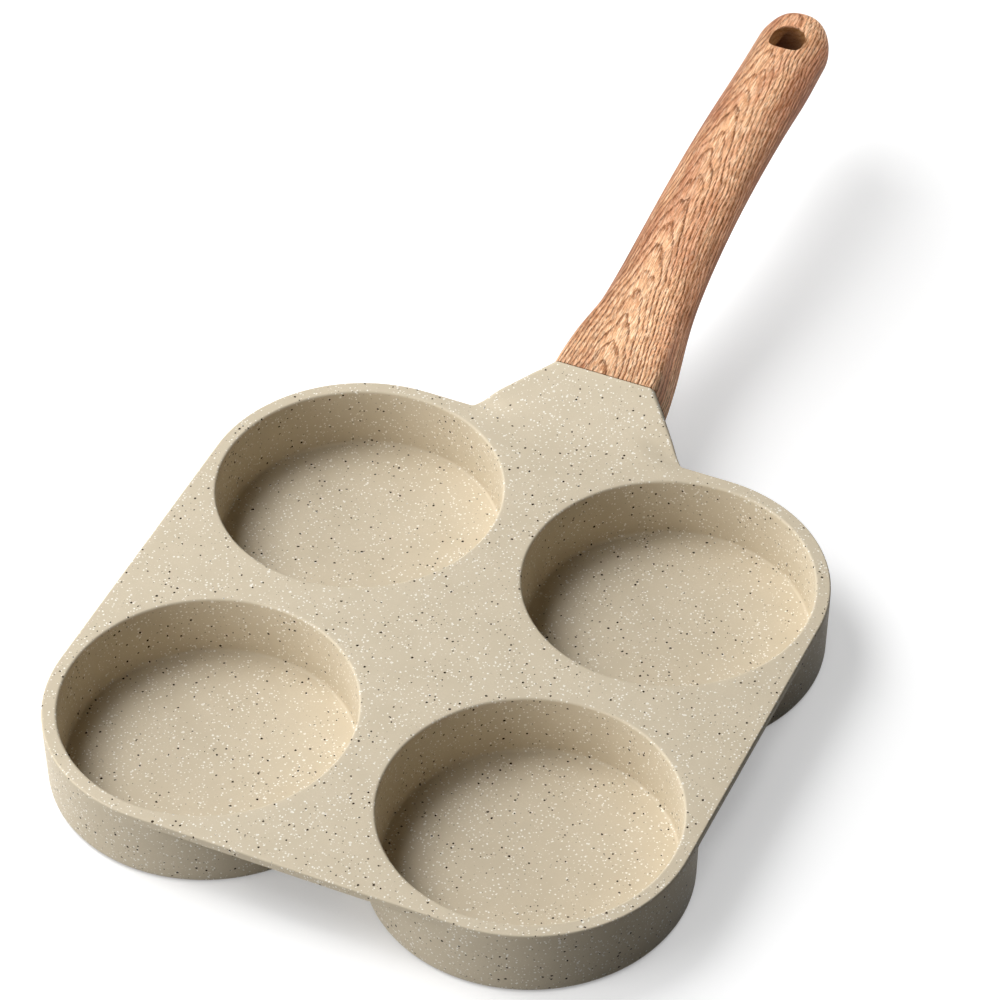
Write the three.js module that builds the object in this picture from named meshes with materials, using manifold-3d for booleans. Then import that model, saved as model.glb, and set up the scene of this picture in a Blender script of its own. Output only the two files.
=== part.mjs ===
// Four-cup egg pan: one coated aluminium casting with a deck, four cups and a neck, and a moulded
// handle held on the neck's tang by one screw from below.
// Millimetres, +Z up, handle along +Y. Worked out round the middle of the deck, with the cup bases
// on z = 0, and moved at the end so that the origin is under the middle of the whole pan.
import * as THREE from 'three';
import { mergeVertices } from 'three/addons/utils/BufferGeometryUtils.js';
import Module from 'manifold-3d';

// Cups
const cupMouthDiameter = 84.4; // inside the rim
const cupWall = 4.4; // from the mouth to the outside of the wall, at the deck
const cupGap = 5.1; // between the walls of neighbouring cups
const cupDepth = 20; // deck top to cup floor
const cupFloor = 3.2; // thickness of the floor
const insideDraft = 0.4; // how much narrower the inside is at its floor
const outsideDraft = 0.5; // how much narrower the outside is at its base
const rimRound = 0.8;
const floorFillet = 1;
const baseRound = 2;

// Deck
const deckThickness = 2.8;
const deckEdgeRound = 0.5;
const wallInset = 0.05; // the cup walls start this far inside the deck's edge

// Neck, from the back edge of the deck to the handle
const neckRootWidth = 68; // at the deck's back edge
const neckReach = 24; // back edge to the middle of the joint face
const neckDrop = 3.4; // middle of the joint face, below the deck's top
const neckInset = 13; // how far the neck's root runs in under the deck
const neckFootRadius = 40; // hollow where the neck's top leaves the deck
const neckFootSink = 0.05; // the hollow starts this far under the deck's top
const neckSquareness = 9; // exponent of the neck's section at the deck

// Handle
const handleLength = 164.5; // along its middle line
const jointPitch = THREE.MathUtils.degToRad(16.7); // rise of the handle at the neck
const gripPitch = THREE.MathUtils.degToRad(3.6); // rise of the handle along the grip
const bendStart = 35; // along the middle line from the joint
const bendEnd = 117;
const jointWidth = 35.4; // at mid-height
const jointHeight = 22.4;
const gripWidth = 26;
const endWidth = 23.3;
const gripHeight = 18;
const widthFlare = 29.5; // length over which the joint's width fades to the grip's
const heightFlare = 18.8; // the same for the height
const flareExponent = 1.5;
const jointSquareness = 10; // exponent of the section's upper half: 2 is an oval, higher is squarer
const jointLowSquareness = 4.5; // the same for its lower half
const jointTaper = 0.09; // how much narrower the section's top is than its middle, as a share
const gripSquareness = 2.4;
const squareEnd = 12; // the section keeps the joint's shape up to here
const ovalStart = 42; // and has the grip's from here
const swellDepth = 1.7; // extra depth under the grip, near its end
const swellFromEnd = 29;
const swellLength = 14; // over which the swell fades, each way
const endRoundPlan = 13.7; // rounding of the end, seen from above
const endRoundSide = 6.5; // rounding of the end, seen from the side
const hangHoleDiameter = 11;
const hangHoleFromEnd = 16.7;
const hangHoleSquareness = 4; // exponent of the hole's half nearer the joint; the other half is round

// Tang and its fastening
const tangWidth = 16;
const tangHeight = 7;
const tangLength = 28; // beyond the joint face
const tangLift = 2.4; // middle of the tang, above the handle's middle line
const tangCorner = 1.5;
const tangRoot = 7; // how far the tang runs back into the neck
const screwReach = 16; // joint face to screw
const screwDiameter = 5;
const screwHeadDiameter = 9;
const screwHeadHeight = 2.8;
const screwHeadRim = 1.1; // upright part of the head, under its dome
const screwTipChamfer = 0.75;
const screwEngagement = 5.6; // how far the screw reaches into the tang
const recessWidth = 1.2;
const recessSpan = 4.8;
const recessDepth = 1.6;
const springWasherOuter = 9.2;
const springWasherThickness = 1.2;
const springWasherSlit = 1;
const flatWasherOuter = 10;
const flatWasherThickness = 1;
const washerBore = 5.6;
const seatThickness = 2.4; // handle wall between the socket and the flat washer
const headWellClearance = 0.5; // round the flat washer
const fitGap = 0.3; // between pieces that seat on or in each other

// Fineness of the facets
const cupSides = 64; // round a cup, and round the deck's four corners together
const fastenerSides = 24;
const hangHoleSides = 32;
const sectionPoints = 40; // round the section of the handle and neck
const edgeSteps = 3; // across a rounded edge
const hollowSteps = 4; // across a fillet, a hollow or a tang corner
const domeSteps = 5; // across the screw head's dome
const handleStations = 24; // along the handle, up to its rounded end
const endStations = 7; // along the rounded end
const endFlatAngle = THREE.MathUtils.degToRad(88); // leaves a tiny flat at the very end

// Places worked out from the sizes above
const cupMouthRadius = cupMouthDiameter / 2;
const cupOuterRadius = cupMouthRadius + cupWall;
const cupOffset = cupOuterRadius + cupGap / 2;
const deckHalf = cupOffset + cupOuterRadius;
const deckTop = cupDepth + cupFloor;
const jointCentre = new THREE.Vector3(0, deckHalf + neckReach, deckTop - neckDrop);
const cutPast = 2; // how far a cutting solid stands out of what it cuts

const wasm = await Module();
wasm.setup();

// A closed geometry as a solid that can be joined and cut.
function solid(geometry) {
  const bare = geometry.clone();
  bare.deleteAttribute('normal');
  bare.deleteAttribute('uv');
  const merged = mergeVertices(bare, 1e-4);
  const corners = merged.index.array;
  const kept = [];
  for (let i = 0; i < corners.length; i += 3) {
    const [a, b, c] = corners.slice(i, i + 3);
    if (a !== b && b !== c && c !== a) kept.push(a, b, c);
  }
  return new wasm.Manifold(new wasm.Mesh({
    numProp: 3,
    vertProperties: new Float32Array(merged.attributes.position.array),
    triVerts: new Uint32Array(kept),
  }));
}

// A solid back as a geometry.
function geometryOf(body) {
  const mesh = body.getMesh();
  const geometry = new THREE.BufferGeometry();
  geometry.setAttribute('position', new THREE.BufferAttribute(mesh.vertProperties, 3));
  geometry.setIndex(new THREE.BufferAttribute(mesh.triVerts, 1));
  geometry.computeVertexNormals();
  return geometry;
}

// A profile of radius and height, turned about the Z axis.
function turned(profile, sides) {
  return new THREE.LatheGeometry(profile, sides).rotateX(Math.PI / 2);
}

// Points on an arc from one angle to another, in degrees, in steps.
function arc(x, y, radius, from, to, steps) {
  const points = [];
  for (let i = 0; i <= steps; i += 1) {
    const angle = THREE.MathUtils.degToRad(from + ((to - from) * i) / steps);
    points.push(new THREE.Vector2(x + radius * Math.cos(angle), y + radius * Math.sin(angle)));
  }
  return points;
}

// A rectangle with round corners, about the middle, with a number of steps in each corner.
function roundRectangle(width, height, corner, steps) {
  const x = width / 2 - corner;
  const y = height / 2 - corner;
  return new THREE.Shape([
    ...arc(x, y, corner, 0, 90, steps),
    ...arc(-x, y, corner, 90, 180, steps),
    ...arc(-x, -y, corner, 180, 270, steps),
    ...arc(x, -y, corner, 270, 360, steps),
  ]);
}

// Rings of points, skinned one to the next, with a flat cap at each end.
function loft(rings) {
  const count = rings[0].length;
  const middle = (ring) => ring.reduce((sum, p) => sum.add(p), new THREE.Vector3()).divideScalar(count);
  const points = [...rings.flat(), middle(rings[0]), middle(rings[rings.length - 1])];
  const firstCap = rings.length * count;
  const lastRing = (rings.length - 1) * count;
  const index = [];
  for (let i = 0; i < count; i += 1) {
    const next = (i + 1) % count;
    for (let row = 0; row < lastRing; row += count) {
      index.push(row + i, row + count + i, row + next);
      index.push(row + next, row + count + i, row + count + next);
    }
    index.push(firstCap, i, next);
    index.push(firstCap + 1, lastRing + next, lastRing + i);
  }
  return new THREE.BufferGeometry().setFromPoints(points).setIndex(index);
}

// A value from -1 to 1 pushed outwards, so that a circle becomes a squarish oval.
function blunt(value, squareness) {
  return Math.sign(value) * Math.abs(value) ** (2 / squareness);
}

// A ring of points round one section, between its bottom and top points. The shape gives the squareness of
// the two halves, and the taper by which the section narrows upwards.
function sectionRing(bottom, top, halfWidth, shape, count) {
  const centre = bottom.clone().add(top).multiplyScalar(0.5);
  const up = top.clone().sub(bottom).multiplyScalar(0.5);
  const ring = [];
  for (let i = 0; i < count; i += 1) {
    const angle = (2 * Math.PI * i) / count;
    const squareness = i <= count / 2 ? shape.upper : shape.lower;
    const rise = blunt(Math.sin(angle), squareness);
    const point = centre.clone().addScaledVector(up, rise);
    point.x += halfWidth * blunt(Math.cos(angle), squareness) * (1 - shape.taper * rise);
    ring.push(point);
  }
  return ring;
}

// A section shape part of the way from one to another.
function mixedShape(first, second, share) {
  return {
    upper: THREE.MathUtils.lerp(first.upper, second.upper, share),
    lower: THREE.MathUtils.lerp(first.lower, second.lower, share),
    taper: THREE.MathUtils.lerp(first.taper, second.taper, share),
  };
}

const rootShape = { upper: neckSquareness, lower: neckSquareness, taper: 0 };
const jointShape = { upper: jointSquareness, lower: jointLowSquareness, taper: jointTaper };
const gripShape = { upper: gripSquareness, lower: gripSquareness, taper: 0 };

// The handle's middle line, its rise and its section, by distance from the joint face.
const ease = (t) => THREE.MathUtils.smoothstep(t, 0, 1);
const fade = (distance, length) => Math.exp(-((distance / length) ** flareExponent));
const pitchAt = (distance) => THREE.MathUtils.lerp(
  jointPitch,
  gripPitch,
  ease((distance - bendStart) / (bendEnd - bendStart)),
);

function middleLineAt(distance) {
  const point = jointCentre.clone();
  const steps = Math.max(1, Math.ceil(distance));
  for (let i = 0; i < steps; i += 1) {
    const pitch = pitchAt((distance * (i + 0.5)) / steps);
    point.y += (Math.cos(pitch) * distance) / steps;
    point.z += (Math.sin(pitch) * distance) / steps;
  }
  return point;
}

function roundOff(distance, length) {
  const into = THREE.MathUtils.clamp((distance - (handleLength - length)) / length, 0, 1);
  return Math.sqrt(1 - into * into);
}

function handleHalfWidthAt(distance) {
  const grip = THREE.MathUtils.lerp(gripWidth, endWidth, distance / handleLength);
  const width = grip + (jointWidth - gripWidth) * fade(distance, widthFlare);
  return (width / 2) * roundOff(distance, endRoundPlan);
}

function handleHalfHeightAt(distance) {
  const height = gripHeight + (jointHeight - gripHeight) * fade(distance, heightFlare);
  return (height / 2) * roundOff(distance, endRoundSide);
}

function handleRing(distance) {
  const pitch = pitchAt(distance);
  const normal = new THREE.Vector3(0, -Math.sin(pitch), Math.cos(pitch));
  const middle = middleLineAt(distance);
  const half = handleHalfHeightAt(distance);
  const fromSwell = (distance - handleLength + swellFromEnd) / swellLength;
  const swell = swellDepth * Math.exp(-fromSwell * fromSwell) * roundOff(distance, endRoundSide);
  const bottom = middle.clone().addScaledVector(normal, -half - swell);
  const top = middle.clone().addScaledVector(normal, half);
  const ovalShare = ease((distance - squareEnd) / (ovalStart - squareEnd));
  const shape = mixedShape(jointShape, gripShape, ovalShare);
  return sectionRing(bottom, top, handleHalfWidthAt(distance), shape, sectionPoints);
}

// The joint's own frame: Y runs into the handle, Z square to it, with the joint face on y = 0.
const jointFrame = new THREE.Matrix4().makeRotationX(jointPitch).setPosition(jointCentre);

// A bar of a given section along the joint's Y, from one distance to another.
function jointBar(width, height, corner, from, to) {
  const section = roundRectangle(width, height, corner, hollowSteps);
  const bar = new THREE.ExtrudeGeometry(section, { depth: to - from, bevelEnabled: false });
  return bar.rotateX(-Math.PI / 2).translate(0, from, tangLift).applyMatrix4(jointFrame);
}

// A round hole's solid along the joint's Z at the screw, from one height to another.
function screwBore(diameter, from, to) {
  const bore = new THREE.CylinderGeometry(diameter / 2, diameter / 2, to - from, fastenerSides);
  return bore.rotateX(Math.PI / 2).translate(0, screwReach, (from + to) / 2).applyMatrix4(jointFrame);
}

const tangBottom = tangLift - tangHeight / 2;
const socketBottom = tangBottom - fitGap;
const seatHeight = socketBottom - seatThickness; // where the flat washer's seat is, in the joint frame
const flatWasherTop = seatHeight - fitGap;
const springWasherTop = flatWasherTop - flatWasherThickness - fitGap;
const headTop = springWasherTop - springWasherThickness - fitGap;
const screwTip = tangBottom + screwEngagement;

// Casting: deck with a rounded edge.
function deck() {
  const side = 2 * (deckHalf - deckEdgeRound);
  const outline = roundRectangle(side, side, cupOuterRadius - deckEdgeRound, cupSides / 4);
  const plate = new THREE.ExtrudeGeometry(outline, {
    depth: deckThickness - 2 * deckEdgeRound,
    bevelThickness: deckEdgeRound,
    bevelSize: deckEdgeRound,
    bevelSegments: edgeSteps,
  });
  return plate.translate(0, 0, deckTop - deckThickness + deckEdgeRound);
}

// Casting: outside of one cup, up into the deck.
function cupOutside() {
  const topRadius = cupOuterRadius - wallInset;
  const baseRadius = topRadius - outsideDraft;
  const top = deckTop - deckThickness / 2;
  return turned([
    new THREE.Vector2(0, 0),
    ...arc(baseRadius - baseRound, baseRound, baseRound, -90, 0, edgeSteps),
    new THREE.Vector2(topRadius, top),
    new THREE.Vector2(0, top),
  ], cupSides);
}

// Casting: inside of one cup, with its floor fillet and rounded rim.
function cupInside() {
  const floorRadius = cupMouthRadius - insideDraft;
  const rimCentre = cupMouthRadius + rimRound;
  return turned([
    new THREE.Vector2(0, cupFloor),
    ...arc(floorRadius - floorFillet, cupFloor + floorFillet, floorFillet, -90, 0, hollowSteps),
    ...arc(rimCentre, deckTop - rimRound, rimRound, 180, 90, edgeSteps),
    new THREE.Vector2(rimCentre, deckTop + cutPast),
    new THREE.Vector2(0, deckTop + cutPast),
  ], cupSides);
}

// Casting: neck from inside the deck to the joint face, flush there with the handle's section.
function neck() {
  const face = (side) => new THREE.Vector3(0, 0, (side * jointHeight) / 2).applyMatrix4(jointFrame);
  const jointTop = face(1);
  const jointBottom = face(-1);
  const rootY = deckHalf - neckInset;
  const widthSlope = (neckRootWidth - jointWidth) / 2 / neckReach;
  const halfWidthAt = (y) => jointWidth / 2 + (jointCentre.y - y) * widthSlope;
  const footRise = jointTop.z - deckTop;
  const footY = jointTop.y - footRise / Math.tan(jointPitch);
  const tangent = neckFootRadius * Math.tan(jointPitch / 2);
  const hollowZ = deckTop - neckFootSink + neckFootRadius;
  const steepest = THREE.MathUtils.radToDeg(jointPitch) - 90;
  const hollow = arc(footY - tangent, hollowZ, neckFootRadius, -90, steepest, hollowSteps);
  const rootTop = new THREE.Vector3(0, rootY, deckTop - deckThickness / 4);
  const rootBottom = new THREE.Vector3(0, rootY, deckTop - (3 * deckThickness) / 4);
  const tops = [rootTop, ...hollow.map((p) => new THREE.Vector3(0, p.x, p.y)), jointTop];
  const rings = tops.map((top) => {
    const along = (top.y - rootY) / (jointTop.y - rootY);
    const bottom = rootBottom.clone().lerp(jointBottom, along);
    const halfWidth = halfWidthAt((top.y + bottom.y) / 2);
    const shape = mixedShape(rootShape, jointShape, along);
    return sectionRing(bottom, top, halfWidth, shape, sectionPoints);
  });
  return loft(rings);
}

function panCasting() {
  const tang = jointBar(tangWidth, tangHeight, tangCorner, -tangRoot, tangLength);
  let body = solid(deck()).add(solid(neck())).add(solid(tang));
  const places = [-1, 1].flatMap((x) => [-1, 1].map((y) => [x * cupOffset, y * cupOffset]));
  for (const [x, y] of places) body = body.add(solid(cupOutside().translate(x, y, 0)));
  for (const [x, y] of places) body = body.subtract(solid(cupInside().translate(x, y, 0)));
  const thread = screwBore(screwDiameter + 2 * fitGap, tangBottom - cutPast, screwTip + fitGap);
  return geometryOf(body.subtract(solid(thread)));
}

// Handle: the hole for a hook, with a flatter side nearer the joint.
function hangHole() {
  const radius = hangHoleDiameter / 2;
  const outline = [];
  for (let i = 0; i < hangHoleSides; i += 1) {
    const angle = (2 * Math.PI * i) / hangHoleSides;
    const squareness = i <= hangHoleSides / 2 ? 2 : hangHoleSquareness;
    const across = radius * blunt(Math.cos(angle), squareness);
    const along = radius * blunt(Math.sin(angle), squareness);
    outline.push(new THREE.Vector2(across, along));
  }
  const place = handleLength - hangHoleFromEnd;
  const depth = 2 * gripHeight;
  const bore = new THREE.ExtrudeGeometry(new THREE.Shape(outline), { depth, bevelEnabled: false });
  bore.translate(0, 0, -gripHeight).rotateX(pitchAt(place));
  return bore.translate(...middleLineAt(place).toArray());
}

function handle() {
  const plainEnd = handleLength - endRoundPlan;
  const rings = [];
  for (let i = 0; i < handleStations; i += 1) {
    rings.push(handleRing(THREE.MathUtils.lerp(fitGap, plainEnd, i / handleStations)));
  }
  for (let i = 0; i <= endStations; i += 1) {
    rings.push(handleRing(plainEnd + endRoundPlan * Math.sin((endFlatAngle * i) / endStations)));
  }
  const socket = jointBar(
    tangWidth + 2 * fitGap,
    tangHeight + 2 * fitGap,
    tangCorner + fitGap,
    -cutPast,
    tangLength + fitGap,
  );
  const clearHole = screwBore(washerBore, seatHeight - cutPast, tangBottom + fitGap);
  const headWell = screwBore(flatWasherOuter + 2 * headWellClearance, -jointHeight, seatHeight);
  let body = solid(loft(rings));
  for (const cut of [socket, clearHole, headWell, hangHole()]) body = body.subtract(solid(cut));
  return geometryOf(body);
}

// Screw: domed head below, shank up into the tang, cross recess in the head. Z = 0 under the head.
function screw() {
  const shank = screwDiameter / 2;
  const head = screwHeadDiameter / 2;
  const length = screwTip - headTop;
  const domeRise = screwHeadHeight - screwHeadRim;
  const domeRadius = (head * head + domeRise * domeRise) / (2 * domeRise);
  const domeEdge = THREE.MathUtils.radToDeg(Math.asin(head / domeRadius)) - 90;
  const body = solid(turned([
    ...arc(0, domeRadius - screwHeadHeight, domeRadius, -90, domeEdge, domeSteps),
    new THREE.Vector2(head, 0),
    new THREE.Vector2(shank, 0),
    new THREE.Vector2(shank, length - screwTipChamfer),
    new THREE.Vector2(shank - screwTipChamfer, length),
    new THREE.Vector2(0, length),
  ], fastenerSides));
  const slot = () => new THREE.BoxGeometry(recessSpan, recessWidth, 2 * recessDepth);
  const across = solid(slot().translate(0, 0, -screwHeadHeight));
  const along = solid(slot().rotateZ(Math.PI / 2).translate(0, 0, -screwHeadHeight));
  return geometryOf(body.subtract(across).subtract(along));
}

// Split ring: an arc of a flat ring with square ends.
function springWasher() {
  const outer = springWasherOuter / 2;
  const inner = washerBore / 2;
  const slit = springWasherSlit / 2;
  const edge = (radius) => THREE.MathUtils.radToDeg(Math.asin(slit / radius));
  const ring = new THREE.Shape([
    ...arc(0, 0, outer, edge(outer), 360 - edge(outer), fastenerSides),
    ...arc(0, 0, inner, 360 - edge(inner), edge(inner), fastenerSides),
  ]);
  return new THREE.ExtrudeGeometry(ring, { depth: springWasherThickness, bevelEnabled: false });
}

function flatWasher() {
  const outer = flatWasherOuter / 2;
  const inner = washerBore / 2;
  return turned([
    new THREE.Vector2(inner, 0),
    new THREE.Vector2(outer, 0),
    new THREE.Vector2(outer, flatWasherThickness),
    new THREE.Vector2(inner, flatWasherThickness),
    new THREE.Vector2(inner, 0),
  ], fastenerSides);
}

const coat = new THREE.MeshStandardMaterial({ color: '#cbbda6', roughness: 0.5, metalness: 0 });
const woodGrain = new THREE.MeshStandardMaterial({ color: '#b97c53', roughness: 0.55, metalness: 0 });
const screwSteel = new THREE.MeshStandardMaterial({ color: '#c3c5c7', roughness: 0.3, metalness: 1 });
const springSteel = new THREE.MeshStandardMaterial({ color: '#8f9296', roughness: 0.4, metalness: 1 });
const washerSteel = new THREE.MeshStandardMaterial({ color: '#b5b7ba', roughness: 0.35, metalness: 1 });

function piece(name, geometry, material) {
  const mesh = new THREE.Mesh(geometry, material);
  mesh.name = name;
  return mesh;
}

// The screw and its washers stand in the screw's own frame, with Z up the screw.
const fastening = new THREE.Group();
fastening.rotation.x = jointPitch;
fastening.position.set(0, screwReach, 0).applyMatrix4(jointFrame);
const fasteners = [
  [piece('handle_screw', screw(), screwSteel), headTop],
  [piece('spring_washer', springWasher(), springSteel), springWasherTop - springWasherThickness],
  [piece('flat_washer', flatWasher(), washerSteel), flatWasherTop - flatWasherThickness],
];
for (const [mesh, height] of fasteners) {
  mesh.position.z = height;
  fastening.add(mesh);
}

const pan = new THREE.Group();
pan.add(piece('pan_casting', panCasting(), coat), piece('handle', handle(), woodGrain), fastening);

// The origin goes under the middle of the pan, on the surface that it stands on.
pan.updateMatrixWorld(true);
const box = new THREE.Box3().setFromObject(pan, true);
const middle = box.getCenter(new THREE.Vector3());
pan.position.set(-middle.x, -middle.y, -box.min.z);

export default pan;
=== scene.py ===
import math

import bmesh
import bpy
import numpy as np
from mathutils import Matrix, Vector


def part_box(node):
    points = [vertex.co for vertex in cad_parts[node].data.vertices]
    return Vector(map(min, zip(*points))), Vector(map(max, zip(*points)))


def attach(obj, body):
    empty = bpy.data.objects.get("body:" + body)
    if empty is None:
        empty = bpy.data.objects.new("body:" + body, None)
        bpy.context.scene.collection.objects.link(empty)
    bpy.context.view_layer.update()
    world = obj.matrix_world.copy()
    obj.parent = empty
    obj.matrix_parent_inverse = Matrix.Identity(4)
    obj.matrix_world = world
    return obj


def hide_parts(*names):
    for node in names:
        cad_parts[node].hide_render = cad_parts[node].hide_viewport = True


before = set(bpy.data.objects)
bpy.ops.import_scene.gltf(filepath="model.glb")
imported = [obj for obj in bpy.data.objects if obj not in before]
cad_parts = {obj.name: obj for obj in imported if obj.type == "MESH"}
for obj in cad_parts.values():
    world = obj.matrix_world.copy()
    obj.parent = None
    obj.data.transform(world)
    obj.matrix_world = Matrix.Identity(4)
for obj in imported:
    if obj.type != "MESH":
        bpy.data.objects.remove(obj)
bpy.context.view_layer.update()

# Lengths below are in millimetres, round the middle of the deck, with the cup bases on height 0.
mm = 0.001
panLow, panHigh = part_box("pan_casting")
deckHalf = panHigh.x / mm
deckY = panLow.y / mm + deckHalf
print("frame loaded, deck", round(2 * deckHalf, 2), "mm wide, its middle at y", round(deckY, 2))

meshing = {
    "weld": 2e-6,  # metres
    "sharpAngle": math.radians(40),
    "overshoot": 2.0,  # how far a cutter stands out of what it cuts
}


# 0 to 1 with level ends: three t squared less two t cubed
def ease(t):
    t = np.clip(t, 0, 1)
    return t * t * (3 - 2 * t)


# straight mix of two values by a share
def blend(first, second, share):
    return first + (second - first) * share


# shares of a length in equal steps, without its start
def steps(count):
    return np.linspace(0, 1, count + 1)[1:]


# angles of a full turn, in steps
def circle(count):
    return np.linspace(0, 2 * math.pi, count, endpoint=False)


# angles of a quarter turn, in steps
def quarter(count, first=0):
    return np.linspace(0, math.pi / 2, count + 1)[first:]


# the middle of a ring, once for each of its points, which closes an end
def pole(ring):
    return ring.mean(axis=-2, keepdims=True) + 0 * ring


# how far the edge of a squarish oval lies from its middle, by angle
def ovalReach(angle, halfWidth, halfHeight, square):
    wide = np.abs(np.cos(angle)) / halfWidth
    high = np.abs(np.sin(angle)) / halfHeight
    return (wide ** square + high ** square) ** (-1 / square)


# points at a radius, an angle and a height
def aroundAxis(radius, angle, height):
    return np.stack([radius * np.cos(angle), radius * np.sin(angle), height + 0 * angle], axis=-1)


# a profile of radius and height turned about an upright axis, as a ring grid
def turnedGrid(radius, height, sides):
    return aroundAxis(np.asarray(radius)[:, None], circle(sides), np.asarray(height)[:, None])


# quads of a grid of points, the last column joined to the first where the grid is a ring
def gridFaces(rows, columns, ring):
    index = np.arange(rows * columns).reshape(rows, columns)
    left = index if ring else index[:, :-1]
    right = np.roll(index, -1, axis=1) if ring else index[:, 1:]
    return np.stack([left[:-1], right[:-1], right[1:], left[1:]], axis=-1).reshape(-1, 4)


def smooth(mesh):
    mesh.shade_smooth()
    mesh.set_sharp_from_angle(angle=meshing["sharpAngle"])


# one closed mesh from several grids in deck millimetres: shared edges and poles are merged,
# and the faces turned outwards
def closedMesh(name, grids):
    points = []
    faces = []
    start = 0
    for grid, ring in grids:
        rows, columns = grid.shape[:2]
        points.append(grid.reshape(-1, 3))
        faces.append(gridFaces(rows, columns, ring) + start)
        start += rows * columns
    places = (np.concatenate(points) + (0, deckY, 0)) * mm
    mesh = bpy.data.meshes.new(name)
    mesh.from_pydata(places.tolist(), [], np.concatenate(faces).tolist())
    work = bmesh.new()
    work.from_mesh(mesh)
    bmesh.ops.remove_doubles(work, verts=work.verts, dist=meshing["weld"])
    bmesh.ops.recalc_face_normals(work, faces=work.faces)
    openEdges = sum(not edge.is_manifold for edge in work.edges)
    work.to_mesh(mesh)
    work.free()
    smooth(mesh)
    print(name, len(mesh.polygons), "faces,", openEdges, "open edges")
    return mesh


def addObject(mesh):
    piece = bpy.data.objects.new(mesh.name, mesh)
    bpy.context.scene.collection.objects.link(piece)
    return piece


# one ring grid as an object
def ringObject(name, grid):
    return addObject(closedMesh(name, [(grid, True)]))


# the piece less its cutters, which are removed afterwards
def cutAway(piece, cutters):
    for cutter in cutters:
        modifier = piece.modifiers.new(cutter.name, "BOOLEAN")
        modifier.operation = "DIFFERENCE"
        modifier.solver = "MANIFOLD"
        modifier.object = cutter
    graph = bpy.context.evaluated_depsgraph_get()
    cut = bpy.data.meshes.new_from_object(piece.evaluated_get(graph))
    piece.modifiers.clear()
    piece.data = cut
    for cutter in cutters:
        bpy.data.objects.remove(cutter)
    smooth(cut)
    print(piece.name, "cut, now", len(cut.polygons), "faces")


# Pan casting
pan = {
    "mouth": 42.2,  # radius inside a cup's rim
    "wall": 4.4,
    "depth": 20.0,
    "floor": 3.2,
    "insideDraft": 0.4,
    "outsideDraft": 0.5,
    "rimRound": 0.8,
    "floorFillet": 1.0,
    "baseRound": 2.0,
    "thickness": 2.8,  # of the deck
    "edgeRound": 0.5,
    "underFillet": 1.8,  # where the cup walls meet the deck's underside
    "roomShare": 0.45,  # of the room that there is, which a round or a fillet takes up at most
    "arcSteps": 46,
    "sideSteps": 28,
    "seamSteps": 36,
    "floorRings": 15,
    "baseRings": 12,
    "roundSteps": 8,
    "lowRoundSteps": 5,
    "rimSteps": 6,
    "insideSteps": 6,
    "outsideSteps": 8,
    "deckSteps": 9,
    "edgeSteps": 5,
}
neck = {
    "rootHalf": 33.5,  # half width where the neck's top edge leaves the deck's
    "reach": 24.0,  # deck's back edge to the middle of the joint face
    "drop": 3.4,  # middle of the joint face, below the deck's top
    "footRadius": 40.0,  # hollow where the neck leaves the deck
    "gussetStart": 10.7,  # from the deck's back edge, where the neck's underside leaves the deck's
    "cornerRound": 2.0,  # in the corners between neck and deck, along the top edge
    "sideBlend": 14.0,  # the foot sinks into the deck over this width
    "sidePast": 2.0,  # and over this much more outside the neck
    "cornerRise": 7.0,  # and the neck has its full height this far along
    "cornerSteps": 8,
    "steps": 34,
}
joint = {
    "pitch": math.radians(16.7),
    "topHalf": 16.2,  # half width of the joint face along its top, were its corners sharp
    "lowHalf": 19.3,  # and along its bottom
    "halfHeight": 11.2,
    "topRound": 1.6,
    "lowRound": 8.0,
    "gap": 0.3,  # between neck and handle
    "flatPoints": 40,
}
tang = {
    "halfWidth": 8.0,
    "halfHeight": 3.5,
    "length": 28.0,
    "lift": 2.4,
    "squareness": 8,
    "tip": 1.0,
    "faceRing": 0.6,  # extra ring on the joint face, from its edge towards the tang
    "socketSides": 64,
}

cupOuter = pan["mouth"] + pan["wall"]
cupOffset = deckHalf - cupOuter
deckTop = pan["depth"] + pan["floor"]
deckUnder = deckTop - pan["thickness"]
backLine = deckHalf - pan["edgeRound"]  # where the flat of the deck ends at the back
jointPlace = np.array([0, deckHalf + neck["reach"], deckTop - neck["drop"]])
jointAlong = np.array([0, math.cos(joint["pitch"]), math.sin(joint["pitch"])])
jointUp = np.array([0, -math.sin(joint["pitch"]), math.cos(joint["pitch"])])
jointTop = jointPlace + joint["halfHeight"] * jointUp
jointBottom = jointPlace - joint["halfHeight"] * jointUp
jointTopEdge = joint["topHalf"] - joint["topRound"]
jointLowEdge = joint["lowHalf"] - joint["lowRound"]


# level, then an arc of the given radius, then a straight slope that would start at foot
def hollow(y, foot, slope, radius):
    angle = math.atan(slope)
    start = foot - radius * math.tan(angle / 2)
    end = start + radius * math.sin(angle)
    along = np.clip(y - start, 0, radius * math.sin(angle))
    curved = radius - np.sqrt(radius * radius - along * along)
    return np.where(y > end, slope * (y - foot), curved)


# 1 on the neck, easing to 0 across the foot's two sides, where the neck sinks into the deck
def neckShare(x, y):
    taper = (neck["rootHalf"] - jointTopEdge) / (jointTop[1] - backLine)
    side = neck["rootHalf"] + (backLine - y) * taper
    out = ease((np.abs(x) - side + neck["sideBlend"]) / (neck["sideBlend"] + neck["sidePast"]))
    return 1 - out * (1 - ease((y - backLine) / neck["cornerRise"]))


# deck's top, rising along the neck to the top of the joint face
def topHeight(x, y):
    slope = math.tan(joint["pitch"])
    foot = jointTop[1] - (jointTop[2] - deckTop) / slope
    return deckTop + neckShare(x, y) * hollow(y, foot, slope, neck["footRadius"])


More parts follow.
